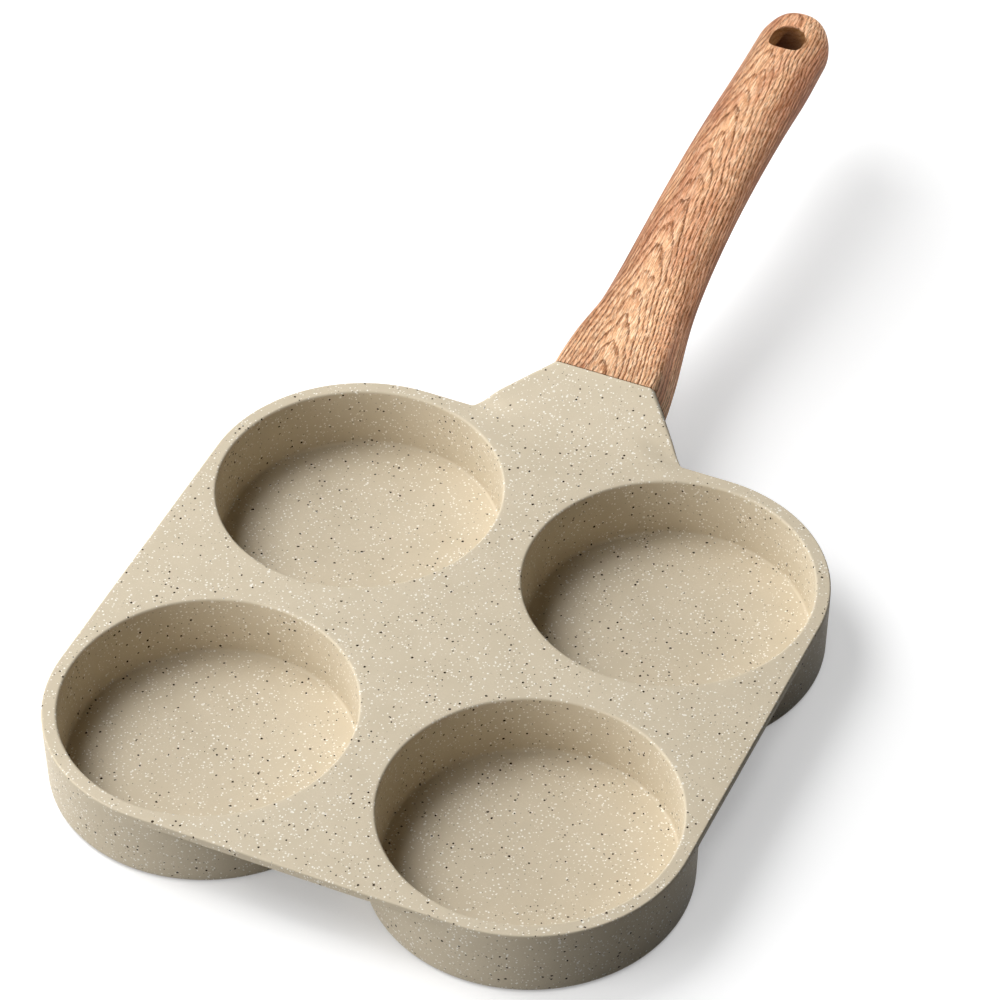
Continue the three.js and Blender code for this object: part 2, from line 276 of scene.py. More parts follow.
# deck's underside, falling along the neck to the bottom of the joint face
def underHeight(x, y):
    foot = deckHalf - neck["gussetStart"]
    slope = (deckUnder - jointBottom[2]) / (jointBottom[1] - foot)
    return deckUnder - neckShare(x, y) * hollow(y, foot, slope, neck["footRadius"])


# the neck's right-hand top edge in plan: a round corner out of the deck's back edge, then straight to
# the joint, with the outward direction at each point and how far along the straight it is
def neckEdge():
    root = np.array([neck["rootHalf"], backLine])
    run = np.array([jointTopEdge, jointTop[1]]) - root
    turn = math.pi - math.atan2(run[1], run[0])
    tangent = neck["cornerRound"] * math.tan(turn / 2)
    angle = -math.pi / 2 - np.linspace(0, turn, neck["cornerSteps"] + 1)
    towards = np.stack([np.cos(angle), np.sin(angle)], axis=-1)
    centre = root + (tangent, neck["cornerRound"])
    corner = centre + neck["cornerRound"] * towards
    share = steps(neck["steps"])[:, None]
    straight = blend(corner[-1], root + run, share)
    plan = np.concatenate([corner, straight])
    outward = np.concatenate([-towards, blend(-towards[-1], np.array([1.0, 0.0]), ease(share))])
    outward /= np.linalg.norm(outward, axis=1, keepdims=True)
    along = np.concatenate([np.zeros(len(corner)), share[:, 0]])
    return plan, outward, along


# directions in plan as level directions in space
def levelled(plan):
    return np.concatenate([plan, 0 * plan[:, :1]], axis=1)


# boundary of one quarter of the deck, as seen from its cup: side edge, round corner, back edge and two
# seams. Points are on the outline, outward is the edge's direction there and 0 on the seams.
def quarterOutline(neckCorner):
    side = np.linspace(-cupOffset, 0, pan["sideSteps"] + 1)[:-1]
    turn = quarter(pan["arcSteps"])
    outerBack = np.linspace(0, neckCorner - cupOffset, pan["sideSteps"] // 3 + 1)[1:]
    innerBack = np.linspace(neckCorner - cupOffset, -cupOffset, pan["sideSteps"] + 1)[1:]
    back = np.concatenate([outerBack, innerBack])
    flatEnd = cupOuter - pan["edgeRound"]
    seam = np.linspace(flatEnd, -cupOffset, pan["seamSteps"] + 1)[1:-1]
    lines = [
        (cupOuter + 0 * side, side, 1 + 0 * side, 0 * side),
        (cupOuter * np.cos(turn), cupOuter * np.sin(turn), np.cos(turn), np.sin(turn)),
        (back, cupOuter + 0 * back, 0 * back, 1 + 0 * back),
        (-cupOffset + 0 * seam, seam, 0 * seam, 0 * seam),
        ([-cupOffset], [-cupOffset], [0], [0]),
        (seam[::-1], -cupOffset + 0 * seam, 0 * seam, 0 * seam),
    ]
    across, along, outAcross, outAlong = (np.concatenate(parts) for parts in zip(*lines))
    outline = np.stack([across, along], axis=-1)
    outward = np.stack([outAcross, outAlong], axis=-1)
    edges = len(side) + len(turn) + len(outerBack)
    return outline, outward, edges, edges + len(innerBack)


# inside of a cup from the middle of its floor to the rim, as radius and height
def cupProfile():
    fillet, rimRound = pan["floorFillet"], pan["rimRound"]
    wallFoot = pan["mouth"] - pan["insideDraft"]
    filletTop = pan["floor"] + fillet
    rimFoot = deckTop - rimRound
    flat = np.linspace(0, wallFoot - fillet, pan["floorRings"])
    up = quarter(pan["roundSteps"], 1)
    wall = steps(pan["insideSteps"])
    over = quarter(pan["rimSteps"], 1)
    radius = [
        flat,
        wallFoot - fillet + fillet * np.sin(up),
        blend(wallFoot, pan["mouth"], wall),
        pan["mouth"] + rimRound - rimRound * np.cos(over),
    ]
    height = [
        pan["floor"] + 0 * flat,
        filletTop - fillet * np.cos(up),
        blend(filletTop, rimFoot, wall),
        rimFoot + rimRound * np.sin(over),
    ]
    return np.concatenate(radius), np.concatenate(height)


# one quarter of the deck: the top from the cup's middle out to the edge, the underside from the base's
# middle out to the same edge, and the rounded edge between them, placed by the signs of its x and y
def quarterGrids(signX, signY, neckCorner):
    outline, outward, plainEdges, allEdges = quarterOutline(neckCorner)
    top = outline - pan["edgeRound"] * outward
    room = np.hypot(outline[:, 0], outline[:, 1]) - cupOuter  # from the cup wall out to the edge
    lowRound = np.minimum(pan["edgeRound"], pan["roomShare"] * room)
    low = outline - lowRound[:, None] * outward

    def placed(radius, angle, height):
        x = signX * (cupOffset + radius * np.cos(angle))
        y = signY * (cupOffset + radius * np.sin(angle))
        return np.stack([x, y, height + 0 * x], axis=-1)

    angle = np.arctan2(top[:, 1], top[:, 0])
    radius, height = cupProfile()
    cup = placed(radius[:, None], angle, height[:, None])
    share = steps(pan["deckSteps"])[:, None]
    flat = placed(blend(radius[-1], np.hypot(top[:, 0], top[:, 1]), share), angle, deckTop)
    flat[..., 2] = topHeight(flat[..., 0], flat[..., 1])
    topGrid = np.concatenate([cup, flat])

    angle = np.arctan2(low[:, 1], low[:, 0])
    reach = np.hypot(low[:, 0], low[:, 1])
    fillet = np.minimum(pan["underFillet"], pan["roomShare"] * np.maximum(reach - cupOuter, 0))
    baseEdge = cupOuter - pan["outsideDraft"]
    meet = placed(cupOuter + fillet, angle, 0)
    wallTop = underHeight(meet[:, 0], meet[:, 1]) - fillet
    bottom = np.linspace(0, baseEdge - pan["baseRound"], pan["baseRings"])
    turn = quarter(pan["lowRoundSteps"], 1)
    lowRadius = np.concatenate([bottom, bottom[-1] + pan["baseRound"] * np.sin(turn)])
    lowHeight = np.concatenate([0 * bottom, pan["baseRound"] * (1 - np.cos(turn))])
    share = steps(pan["outsideSteps"])[:, None]
    wallHeight = blend(pan["baseRound"], wallTop, share)
    wallShare = (wallHeight - pan["baseRound"]) / (deckUnder - pan["baseRound"])
    wallRadius = blend(baseEdge, cupOuter, wallShare)
    filletRadius = wallRadius[-1] + fillet * (1 - np.cos(turn[:, None]))
    filletHeight = wallTop + fillet * np.sin(turn[:, None])
    under = placed(blend(filletRadius[-1], reach, share), angle, deckUnder)
    under[..., 2] = underHeight(under[..., 0], under[..., 1])
    underGrid = np.concatenate([
        placed(lowRadius[:, None], angle, lowHeight[:, None]),
        placed(wallRadius, angle, wallHeight),
        placed(filletRadius, angle, filletHeight),
        under,
    ])

    edges = plainEdges if signY > 0 else allEdges
    out = levelled(outward)[:edges] * (signX, signY, 1)
    ends = topGrid[-1, :edges], underGrid[-1, :edges]
    return topGrid, underGrid, edgeStrip(*ends, out, pan["edgeRound"], lowRound[:edges])


# rounded edge from a top point to a bottom point: a quarter round outwards, a straight side and a
# quarter round in
def edgeStrip(top, bottom, outward, topRound, lowRound):
    topRound = (topRound + np.zeros(len(top)))[:, None]
    lowRound = (lowRound + np.zeros(len(top)))[:, None]
    sideTop = top + topRound * outward
    sideLow = bottom + lowRound * outward
    down = sideLow - sideTop
    down /= np.linalg.norm(down, axis=1, keepdims=True)
    turn = quarter(pan["roundSteps"])[:, None, None]
    share = steps(pan["edgeSteps"])[:-1, None, None]
    return np.concatenate([
        top + topRound * (np.sin(turn) * outward + (1 - np.cos(turn)) * down),
        blend(sideTop + topRound * down, sideLow - lowRound * down, share),
        sideLow - lowRound * ((1 - np.cos(turn)) * outward + (1 - np.sin(turn)) * down),
    ])


# the neck past the deck's back edge: top and underside between its two edges, the two edge strips,
# and the joint face with the tang that the handle slides on to
def neckGrids():
    plan, outward, along = neckEdge()
    topRound = blend(pan["edgeRound"], joint["topRound"], ease(along))
    lowRound = blend(pan["edgeRound"], joint["lowRound"], along * along)
    lowX = plan[:, 0] + (jointLowEdge - jointTopEdge) * along * along
    lowY = plan[:, 1] + (jointBottom[1] - jointTop[1]) * along * along
    across = np.linspace(-1, 1, 2 * pan["sideSteps"] + 1)

    def spread(x, y, height):
        x = x[:, None] * across
        y = y[:, None] + 0 * across
        return np.stack([x, y, height(x, y)], axis=-1)

    top = spread(plan[:, 0], plan[:, 1], topHeight)
    under = spread(lowX, lowY, underHeight)
    right = edgeStrip(top[:, -1], under[:, -1], levelled(outward), topRound, lowRound)
    left = right * (-1, 1, 1)
    face = np.concatenate([top[-1, :-1], right[:-1, -1], under[-1, :0:-1], left[:0:-1, -1]])

    local = face - jointPlace
    angle = np.arctan2(local @ jointUp - tang["lift"], local[:, 0])

    def tangRing(shrink, distance):
        halves = tang["halfWidth"] - shrink, tang["halfHeight"] - shrink
        radius = ovalReach(angle, *halves, tang["squareness"])
        height = tang["lift"] + radius * np.sin(angle)
        ring = jointPlace + distance * jointAlong + height[:, None] * jointUp
        ring[:, 0] = radius * np.cos(angle)
        return ring

    foot = tangRing(0, 0)
    straight = tangRing(0, tang["length"] - tang["tip"])
    tip = tangRing(tang["tip"], tang["length"])
    rings = [face, blend(face, foot, tang["faceRing"]), foot, straight, tip, pole(tip)]
    return [(top, False), (under, False), (right, False), (left, False), (np.stack(rings), True)]


# the whole casting: the neck and the deck's four quarters
def makePan():
    corner = neckEdge()[0][0, 0]
    grids = neckGrids()
    for signX in (-1, 1):
        for signY in (-1, 1):
            top, under, edge = quarterGrids(signX, signY, corner)
            grids += [(top, True), (under, True), (edge, False)]
    return addObject(closedMesh("panBody", grids))


# Handle
handle = {
    "length": 164.5,  # along its middle line
    "gripPitch": math.radians(3.6),
    "bendStart": 35.0,
    "bendEnd": 117.0,
    "jointWidth": 35.4,  # at mid-height
    "gripWidth": 26.0,
    "endWidth": 23.3,
    "gripHeight": 18.0,
    "widthFlare": 29.5,  # length over which the joint's width fades to the grip's
    "heightFlare": 18.8,
    "flareExponent": 1.5,
    "gripSquareness": 2.4,
    "squareEnd": 12.0,  # the section keeps the joint face's outline up to here
    "ovalStart": 42.0,  # and is an oval from here
    "swellDepth": 1.7,  # under the grip
    "swellFromEnd": 29.0,
    "swellLength": 14.0,
    "inset": 0.08,  # of the whole surface, inside the moulding's box
    "endRoundPlan": 13.7,
    "endRoundSide": 6.5,
    "columns": 120,
    "columnCrowding": 3.2,  # over 2, the columns crowd towards the corners
    "rows": 150,
    "endRows": 26,
    "pathPoints": 1646,
    "footSteps": 6,
}
hangHole = {
    "radius": 5.5,
    "fromEnd": 16.7,
    "squareness": 4.0,  # of the half towards the joint
    "edgeRound": 0.5,
    "mouthInset": 0.1,
    "flareSteps": 6,
    "flarePast": 0.3,
    "sides": 72,
}

pathSteps = np.linspace(0, handle["length"], handle["pathPoints"])


# rise of the middle line: the joint's pitch, easing to the grip's along the bend
def pitchAt(distance):
    bend = (distance - handle["bendStart"]) / (handle["bendEnd"] - handle["bendStart"])
    return blend(joint["pitch"], handle["gripPitch"], ease(bend))


pathPitch = pitchAt((pathSteps[1:] + pathSteps[:-1]) / 2)
pathStep = pathSteps[1] - pathSteps[0]
pathY = jointPlace[1] + np.concatenate([[0], np.cumsum(np.cos(pathPitch) * pathStep)])
pathZ = jointPlace[2] + np.concatenate([[0], np.cumsum(np.sin(pathPitch) * pathStep)])


# points from places beside the middle line: sideways, along it and square to it
def alongHandle(side, distance, up):
    pitch = pitchAt(distance)
    y = np.interp(distance, pathSteps, pathY) - up * np.sin(pitch)
    z = np.interp(distance, pathSteps, pathZ) + up * np.cos(pitch)
    return np.stack([side + 0 * y, y, z], axis=-1)


# the same places back from points: the foot on the middle line is found by stepping along it
def besideHandle(points):
    distance = points[:, 1] - jointPlace[1]
    for step in range(handle["footSteps"]):
        pitch = pitchAt(distance)
        offY = points[:, 1] - np.interp(distance, pathSteps, pathY)
        offZ = points[:, 2] - np.interp(distance, pathSteps, pathZ)
        distance = np.clip(distance + offY * np.cos(pitch) + offZ * np.sin(pitch), 0, handle["length"])
    return np.stack([points[:, 0], distance, offZ * np.cos(pitch) - offY * np.sin(pitch)], axis=-1)


# half width and half height of the section: the grip's, flared to the joint's and rounded off at the end
def handleHalves(distance):
    def flare(length):
        return np.exp(-((distance / length) ** handle["flareExponent"]))

    def roundOff(length):
        into = np.clip((distance - handle["length"]) / length + 1, 0, 1)
        return np.sqrt(1 - into * into)

    grip = blend(handle["gripWidth"], handle["endWidth"], distance / handle["length"])
    width = grip + (handle["jointWidth"] - handle["gripWidth"]) * flare(handle["widthFlare"])
    swell = (2 * joint["halfHeight"] - handle["gripHeight"]) * flare(handle["heightFlare"])
    halfX = width / 2 - handle["inset"]
    halfZ = (handle["gripHeight"] + swell) / 2 - handle["inset"]
    return halfX * roundOff(handle["endRoundPlan"]), halfZ * roundOff(handle["endRoundSide"])


# how far the joint face's edge lies from its middle, by angle: its outline is a flat top and bottom with
# the same rounded side that ends the neck
def jointReach(angle):
    top = np.array([[jointTopEdge, 0, joint["halfHeight"]]])
    low = np.array([[jointLowEdge, 0, -joint["halfHeight"]]])
    outward = np.array([[1.0, 0, 0]])
    side = edgeStrip(top, low, outward, joint["topRound"], joint["lowRound"])[::-1, 0]
    flat = np.linspace(0, 1, joint["flatPoints"])[:-1, None]
    toMiddle = (0, 1, 1)
    outline = np.concatenate([blend(low * toMiddle, low, flat), side, blend(top, top * toMiddle, flat)])
    edgeAngle = np.arctan2(outline[:, 2], outline[:, 0])
    edgeReach = np.hypot(outline[:, 0], outline[:, 2])
    folded = np.arctan2(np.sin(angle), np.abs(np.cos(angle)))
    return np.interp(folded, edgeAngle, edgeReach)


# section at each distance: the joint face's outline, easing to a squarish oval along the grip, with a
# slight swell under it near the end
def handleGrid():
    plainEnd = handle["length"] - handle["endRoundPlan"]
    plain = np.linspace(joint["gap"], plainEnd, handle["rows"], endpoint=False)
    ending = plainEnd + handle["endRoundPlan"] * np.sin(quarter(handle["endRows"]))
    distance = np.concatenate([plain, ending])[:, None]
    halfX, halfZ = handleHalves(distance)
    turn = circle(handle["columns"])
    crowding = 2 / handle["columnCrowding"]
    unitX = np.sign(np.cos(turn)) * np.abs(np.cos(turn)) ** crowding
    unitZ = np.sign(np.sin(turn)) * np.abs(np.sin(turn)) ** crowding
    unitX *= handle["jointWidth"] / 2
    unitZ *= joint["halfHeight"]
    atJoint = jointReach(np.arctan2(unitZ, unitX)) / np.hypot(unitX, unitZ)
    square = handle["gripSquareness"]
    wide = np.abs(unitX / handle["jointWidth"] * 2) ** square
    high = np.abs(unitZ / joint["halfHeight"]) ** square
    ovalShare = ease((distance - handle["squareEnd"]) / (handle["ovalStart"] - handle["squareEnd"]))
    reach = blend(atJoint, (wide + high) ** (-1 / square), ovalShare)
    side = reach * unitX * halfX * 2 / handle["jointWidth"]
    up = reach * unitZ * halfZ / joint["halfHeight"]
    fromSwell = (distance - handle["length"] + handle["swellFromEnd"]) / handle["swellLength"]
    swell = handle["swellDepth"] * np.exp(-fromSwell * fromSwell) / handle["gripHeight"]
    up = up * (1 + swell) - swell * halfZ
    grid = alongHandle(side, distance - handle["inset"] * distance / handle["length"], up)
    return np.concatenate([pole(grid[:1]), grid])


# turned grid set up in the joint's own frame, at a distance along the handle
def atJointFrame(grid, distance, lift=0.0):
    place = jointPlace + distance * jointAlong + lift * jointUp
    return place + grid[..., :1] * (1, 0, 0) + grid[..., 1:2] * jointAlong + grid[..., 2:] * jointUp


screw = {
    "reach": 16.0,  # joint face to screw
    "radius": 2.5,
    "headRadius": 4.5,
    "headRim": 1.1,
    "headHeight": 2.8,
    "headCorner": 0.2,
    "cornerSteps": 4,
    "domeRings": 10,
    "pitch": 0.8,
    "threadDepth": 0.42,
    "ridgePower": 1.3,  # over 1, the ridges are rounded
    "runIn": 0.8,  # length over which the thread starts
    "runOut": 0.9,
    "tipLength": 0.75,
    "tipTaper": 0.5,
    "rows": 150,
    "engagement": 5.6,
    "recessHalf": 2.4,
    "recessWidth": 0.6,
    "recessDepth": 1.6,
    "recessPast": 1.0,
    "recessSizes": (1.15, 0.45),  # of the bars outside the head, and at the recess's bottom
    "sides": 48,
}
washers = {
    "bore": 2.8,
    "flatOuter": 5.0,
    "flatThickness": 1.0,
    "flatEdge": 0.18,
    "springOuter": 4.6,
    "springThickness": 1.2,
    "springEdge": 0.15,
    "springSlit": 1.0,
    "springLift": 0.16,  # how far the cut ends of the ring stand apart
    "seat": 2.4,  # handle wall between the socket and the flat washer
    "wellClearance": 0.5,
    "points": 97,
    "cornerSteps": 3,
}
tangBottom = tang["lift"] - tang["halfHeight"]
seatHeight = tangBottom - joint["gap"] - washers["seat"]
flatTop = seatHeight - joint["gap"]
springTop = flatTop - washers["flatThickness"] - joint["gap"]
headTop = springTop - washers["springThickness"] - joint["gap"]
screwTip = tangBottom + screw["engagement"]


# plain round cutter in the joint's frame at the screw
def screwBore(name, radius, bottom, top):
    profile = turnedGrid([0, radius, radius, 0], [bottom, bottom, top, top], screw["sides"])
    return ringObject(name, atJointFrame(profile, screw["reach"]))


# hole for the hook: round with a flatter side towards the joint, flaring at both mouths to soften
# their edges
def hangHoleCutter():
    distance = handle["length"] - hangHole["fromEnd"]
    mouth = handle["gripHeight"] / 2 - hangHole["mouthInset"]
    outside = mouth + meshing["overshoot"]
    flare = quarter(hangHole["flareSteps"])
    out = hangHole["radius"] + hangHole["edgeRound"] * (1 - np.cos(flare))
    up = mouth - hangHole["edgeRound"] * (1 - np.sin(flare))
    radius = np.concatenate([out, [out[-1] + hangHole["flarePast"], 0]])
    height = np.concatenate([up, [outside, outside]])
    radius = np.concatenate([radius[::-1], radius])
    height = np.concatenate([-height[::-1], height])
    grid = turnedGrid(radius, height, hangHole["sides"])
    angle = circle(hangHole["sides"])
    power = np.where(np.sin(angle) < 0, hangHole["squareness"], 2.0)
    grid[..., :2] *= ovalReach(angle, 1, 1, power)[:, None]
    placed = alongHandle(grid[..., 0], distance + 0 * grid[..., 0], grid[..., 2])
    pitch = pitchAt(distance)
    placed += grid[..., 1:2] * (0, math.cos(pitch), math.sin(pitch))
    return ringObject("hangHoleCut", placed)


# socket for the tang, with the joint's gap all round
def socketCutter():
    gap = joint["gap"]
    angle = circle(tang["socketSides"])
    radius = ovalReach(angle, tang["halfWidth"] + gap, tang["halfHeight"] + gap, tang["squareness"])
    front, back = -meshing["overshoot"], tang["length"] + gap
    ends = np.array([front, front, back, back])[:, None]
    size = np.array([0.0, 1.0, 1.0, 0.0])[:, None]
    grid = np.stack([
        size * radius * np.cos(angle),
        ends + 0 * angle,
        tang["lift"] + size * radius * np.sin(angle),
    ], axis=-1)
    return ringObject("socketCut", atJointFrame(grid, 0))


# the handle with its holes cut, and the place beside its middle line kept for the wood film
def makeHandle():
    grip = ringObject("handleGrip", handleGrid())
    spare = meshing["overshoot"]
    well = washers["flatOuter"] + washers["wellClearance"]
    cutAway(grip, [
        hangHoleCutter(),
        socketCutter(),
        screwBore("screwClearance", washers["bore"], seatHeight - spare, tangBottom + joint["gap"]),
        screwBore("headWell", well, -joint["halfHeight"] - 3 * spare, seatHeight),
    ])
    places = np.empty(len(grip.data.vertices) * 3)
    grip.data.vertices.foreach_get("co", places)
    deckPlaces = places.reshape(-1, 3) / mm - (0, deckY, 0)
    film = grip.data.attributes.new("grainPlace", "FLOAT_VECTOR", "POINT")
    film.data.foreach_set("vector", besideHandle(deckPlaces).astype(np.float32).ravel())
    return grip


# Fasteners
# shank radius at an angle and a height: the core, with a rounded ridge that climbs one pitch in each
# turn, fades at both ends and narrows at the tip
def threadedShank():
    length = screwTip - headTop
    angle = circle(screw["sides"])
    height = np.linspace(0, length, screw["rows"])[:, None]
    phase = height / screw["pitch"] - angle / (2 * math.pi)
    ridge = 1 - np.abs(2 * (phase - np.floor(phase)) - 1) ** screw["ridgePower"]
    fade = ease(height / screw["runIn"]) * ease((length - height) / screw["runOut"])
    radius = screw["radius"] - screw["threadDepth"] * (1 - ridge * fade)
    intoTip = (height - length + screw["tipLength"]) / screw["tipLength"]
    return aroundAxis(radius - screw["tipTaper"] * np.clip(intoTip, 0, 1), angle, height)


# head: a flat seat, an upright rim and a dome below
def screwHead():
    head, corner = screw["headRadius"], screw["headCorner"]
    rise = screw["headHeight"] - screw["headRim"]
    dome = (head * head + rise * rise) / (2 * rise)
    sweep = np.linspace(math.asin(head / dome), 0, screw["domeRings"])
    turn = quarter(screw["cornerSteps"])
    domeHeight = dome - screw["headHeight"] - dome * np.cos(sweep)
    radius = np.concatenate([head - corner * (1 - np.sin(turn)), dome * np.sin(sweep)])
    height = np.concatenate([-corner * (1 - np.cos(turn)), domeHeight])
    return turnedGrid(radius, height, screw["sides"])


# cross recess: two tapered bars through the dome's middle
def recessBar(turn):
    halves = np.array([screw["recessHalf"], screw["recessWidth"]])
    corners = np.array([[-1, -1], [1, -1], [1, 1], [-1, 1]])
    heights = -screw["headHeight"] - screw["recessPast"], screw["recessDepth"] - screw["headHeight"]
    outer, inner = (
        np.column_stack([corners * (halves * size), [height] * 4])
        for height, size in zip(heights, screw["recessSizes"])
    )
    grid = np.stack([pole(outer), outer, inner, pole(inner)])
    if turn:
        grid = grid[..., [1, 0, 2]] * (-1, 1, 1)
    return ringObject("recess", atJointFrame(grid, screw["reach"], headTop))


# head, shank and closed tip in one, less the recess
def makeScrew():
    shank = threadedShank()
    grid = np.concatenate([screwHead()[::-1], shank, pole(shank[-1:])])
    piece = ringObject("screwBody", atJointFrame(grid, screw["reach"], headTop))
    cutAway(piece, [recessBar(False), recessBar(True)])
    return piece


# ring with a rounded rectangular section, closed on itself or cut open by a slit with its ends a little
# apart
def ringGrid(inner, outer, thickness, edge, slit=0.0, lift=0.0):
    corner = quarter(washers["cornerSteps"])
    flatWide, flatHigh = (outer - inner) / 2 - edge, thickness / 2 - edge
    signs = [(1, 1), (-1, 1), (-1, -1), (1, -1)]
    turns = [corner + count * math.pi / 2 for count in range(4)]
    radial = [wide * flatWide + edge * np.cos(turn) for (wide, high), turn in zip(signs, turns)]
    upright = [high * flatHigh + edge * np.sin(turn) for (wide, high), turn in zip(signs, turns)]
    radial = (inner + outer) / 2 + np.concatenate(radial)
    gapAngle = slit / outer
    angle = np.linspace(gapAngle / 2, 2 * math.pi - gapAngle / 2, washers["points"])[:, None]
    climb = lift * (angle / math.pi - 1) / 2
    grid = aroundAxis(radial, angle, np.concatenate(upright) + climb)
    if slit:
        grid = np.concatenate([pole(grid[:1]), grid, pole(grid[-1:])])
    return grid


# ring grid placed at the screw, by the height of its top
def makeWasher(name, top, thickness, grid):
    return ringObject(name, atJointFrame(grid, screw["reach"], top - thickness / 2))


# Materials
def addNode(tree, kind, inputs=None, **settings):
    node = tree.nodes.new(kind)
    for name, value in settings.items():
        setattr(node, name, value)
    for name, value in (inputs or {}).items():
        if isinstance(value, bpy.types.NodeSocket):
            tree.links.new(value, node.inputs[name])
        else:
            node.inputs[name].default_value = value
    return node


def calculate(tree, operation, *values):
    return addNode(tree, "ShaderNodeMath", dict(enumerate(values)), operation=operation).outputs[0]


def times(tree, first, second):
    return calculate(tree, "MULTIPLY", first, second)


def timesPlus(tree, first, second, third):
    return calculate(tree, "MULTIPLY_ADD", first, second, third)


def minus(tree, first, second):
    return calculate(tree, "SUBTRACT", first, second)


def vectorSum(tree, operation, *values):
    inputs = dict(enumerate(values))
    return addNode(tree, "ShaderNodeVectorMath", inputs, operation=operation).outputs[0]


# noise with so many cells per unit of its vector, in layers
def noise(tree, vector, scale, detail, output="Fac"):
    inputs = {"Vector": vector, "Scale": scale, "Detail": detail}
    return addNode(tree, "ShaderNodeTexNoise", inputs).outputs[output]


# share that runs from 0 to 1 as a value runs from low to high, with level ends
def between(tree, value, low, high):
    inputs = {"Value": value, "From Min": low, "From Max": high}
    return addNode(tree, "ShaderNodeMapRange", inputs, interpolation_type="SMOOTHSTEP").outputs[0]


# two colours mixed by a share; a mix node has them in its sockets 6 and 7
def mixColour(tree, share, first, second, how="MIX"):
    inputs = {0: share, 6: first, 7: second}
    return addNode(tree, "ShaderNodeMix", inputs, data_type="RGBA", blend_type=how).outputs[2]


# roughness that a noise spreads evenly about a middle value
def roughened(tree, value, middle, spread):
    return timesPlus(tree, value, spread, middle - spread / 2)


def newMaterial(name, **constants):
    material = bpy.data.materials.new(name)
    material.use_nodes = True
    tree = material.node_tree
    shader = tree.nodes["Principled BSDF"]
    for socket, value in constants.items():
        shader.inputs[socket.replace("_", " ")].default_value = value
    return material, tree, shader


# links colour, roughness and relief, which is a strength and a depth in mm, to the shader
def dress(tree, shader, colour, rough, height, relief):
    inputs = {"Strength": relief[0], "Distance": relief[1] * mm, "Height": height}
    bump = addNode(tree, "ShaderNodeBump", inputs).outputs[0]
    for socket, value in (("Base Color", colour), ("Roughness", rough), ("Normal", bump)):
        tree.links.new(value, shader.inputs[socket])


# object coordinates in millimetres
def millimetres(tree):
    coordinates = addNode(tree, "ShaderNodeTexCoord").outputs["Object"]
    return vectorSum(tree, "MULTIPLY", coordinates, [1 / mm] * 3)


coat = {
    "ground": (0.680, 0.592, 0.448, 1),
    "cloud": (0.635, 0.550, 0.410, 1),
    "pale": (0.96, 0.92, 0.84, 1),
    "dark": (0.026, 0.010, 0.0, 1),
    "brown": (0.22, 0.165, 0.11, 1),
    "roughness": 0.46,
    "roughSpread": 0.12,
    "speckRough": -0.08,
    "speckHeight": 0.35,
    "gloss": 0.09,  # specular level
    "relief": (0.12, 0.2),
    # cell size, share of cells with a speck, smallest and largest radius, in mm
    "paleFine": (0.95, 0.86, 0.14, 0.33),
    "paleLarge": (2.4, 0.46, 0.28, 0.48),
    "darkSpecks": (1.8, 0.38, 0.24, 0.42),
    "brownSpecks": (1.3, 0.50, 0.14, 0.26),
    "speckEdge": 0.06,  # width of a speck's soft edge
    "ragged": (0.55, 0.55, 0.55),  # how far its outline wanders
    "shifts": ((31.7, 12.3, 57.1), (-18.4, 43.9, 7.7)),  # between the layers of specks
    "crowdRange": (0.3, 0.7),
    "crowding": (0.75, 0.55),  # share of specks that comes and goes, and share everywhere
    "cloudRange": (0.35, 0.7),
    "gritRange": (0.35, 0.65),
    "gritShare": 0.7,
    "softShare": 0.75,  # how far brown and large specks cover the ground
    # noises: cells per mm, and layers
    "wander": (1.6, 2.0),
    "gather": (0.22, 2.0),
    "clouds": (0.09, 4.0),
    "grit": (2.4, 3.0),
    "peel": (0.9, 3.0),
}


# specks, one at most in each cell of a scattered pattern, each with its own radius, and more of them
# where crowded
def specks(tree, vector, crowd, cell, share, smallest, largest):
    scatter = addNode(tree, "ShaderNodeTexVoronoi", {"Vector": vector, "Scale": 1 / cell})
    chance = addNode(tree, "ShaderNodeSeparateColor", {"Color": scatter.outputs["Color"]})
    radius = timesPlus(tree, chance.outputs[1], (largest - smallest) / cell, smallest / cell)
    inside = minus(tree, radius, scatter.outputs["Distance"])
    shown = calculate(tree, "LESS_THAN", chance.outputs[0], times(tree, crowd, share))
    return times(tree, between(tree, inside, 0.0, coat["speckEdge"] / cell), shown)


